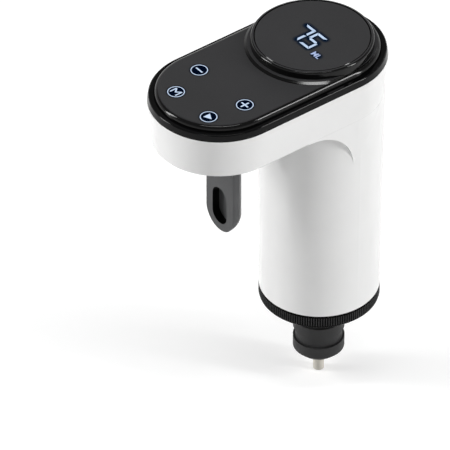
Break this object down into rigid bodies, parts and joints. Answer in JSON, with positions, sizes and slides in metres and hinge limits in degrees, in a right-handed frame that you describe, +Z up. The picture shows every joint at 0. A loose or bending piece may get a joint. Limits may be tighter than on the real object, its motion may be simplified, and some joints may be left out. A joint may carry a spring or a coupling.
{
  "type": "electric wine aerator",
  "caption": "Battery wine aerator that plugs into a bottle neck: white column and long head with touch panel, round display, glass lever and outlet nozzle.",
  "frame": {"origin": "on the column axis, at the upper edge of the stopper's first land, just below the face that rests on the bottle lip", "axes": "+Z up along the column, -Y along the head toward the outlet nozzle, +X across the head, to the right for someone who faces the nozzle end"},
  "size_m": [0.05, 0.093, 0.1505],
  "materials": {
    "white_gloss": "high-gloss white moulding",
    "black_gloss": "high-gloss black moulding",
    "panel_charcoal": "satin charcoal panel",
    "smoked_lens": "smoked lens over the lit digits",
    "board_green": "solder-masked circuit board",
    "digit_white": "light-coloured digit block",
    "bright_steel": "plated steel",
    "switch_black": "black moulding",
    "switch_red": "red moulding",
    "lever_grey": "dark grey gloss moulding",
    "nozzle_black": "black moulding",
    "soft_black": "black silicone rubber",
    "clear_silicone": "milky silicone tube",
    "cell_wrap": "blue shrink sleeve",
    "chassis_grey": "grey moulding",
    "pump_ivory": "ivory moulding",
    "rocker_teal": "low-friction moulding",
    "ring_black": "knurled black moulding"
  },
  "bodies": {
    "body": {"main_housing": "white_gloss", "top_bezel": "black_gloss", "touch_panel": "panel_charcoal", "touch_board": "board_green", "display_rim": "panel_charcoal", "display_lens": "smoked_lens", "display_board": "board_green", "display_digits": "digit_white", "control_board": "board_green", "board_screws": "bright_steel", "micro_switch": "switch_black", "lever_pin": "bright_steel", "lever_spring": "bright_steel", "outlet_nozzle": "nozzle_black", "nozzle_seal": "soft_black", "wine_tube": "clear_silicone", "battery_cell": "cell_wrap", "chassis": "chassis_grey", "motor_can": "bright_steel", "motor_cap": "pump_ivory", "pump_case": "pump_ivory", "diaphragm": "soft_black", "pump_chamber": "pump_ivory", "pump_cover": "pump_ivory", "pump_screws": "bright_steel", "pump_pad": "soft_black", "motor_sleeve": "soft_black", "air_hose": "clear_silicone", "check_valve": "pump_ivory", "base_plate": "nozzle_black", "base_screws": "bright_steel", "base_seal": "soft_black", "stopper_core": "pump_ivory", "core_seal": "soft_black", "bottle_stopper": "soft_black", "charge_board": "board_green", "charging_socket": "bright_steel", "charge_screws": "bright_steel"},
    "lever": {"lever": "lever_grey"},
    "plunger": {"switch_plunger": "switch_red"},
    "ring": {"lock_ring": "ring_black"},
    "crank": {"drive_crank": "pump_ivory"},
    "rocker": {"rocker": "rocker_teal"}
  },
  "joints": [
    {"name": "lever_swing", "type": "hinge", "parent": "body", "child": "lever", "pos_m": [0, -0.04105, 0.0996], "axis": [1, 0, 0], "range_deg": [0, 8], "stiffness_Nm_per_rad": 0.1, "springref_deg": -8.59, "deforming": ["lever_spring"]},
    {"name": "plunger_press", "type": "slide", "parent": "body", "child": "plunger", "axis": [0, 0, 1], "range_m": [0, 0.001]},
    {"name": "ring_turn", "type": "hinge", "parent": "body", "child": "ring", "pos_m": [0, 0, 0.0014], "axis": [0, 0, 1], "range_deg": [0, 60]},
    {"name": "motor_spin", "type": "hinge", "parent": "body", "child": "crank", "pos_m": [-0.0081, 0, 0.05067], "axis": [0, 0, 1], "continuous": true},
    {"name": "rocker_nod", "type": "hinge", "parent": "crank", "child": "rocker", "pos_m": [-0.0081, 0, 0.05067], "axis": [0, -0.1219, 0.9925], "continuous": true}
  ],
  "couplings": [
    {"joint": "plunger_press", "follows": "lever_swing", "m_per_rad": 0.007},
    {"joint": "rocker_nod", "follows": "motor_spin", "ratio": -1}
  ]
}
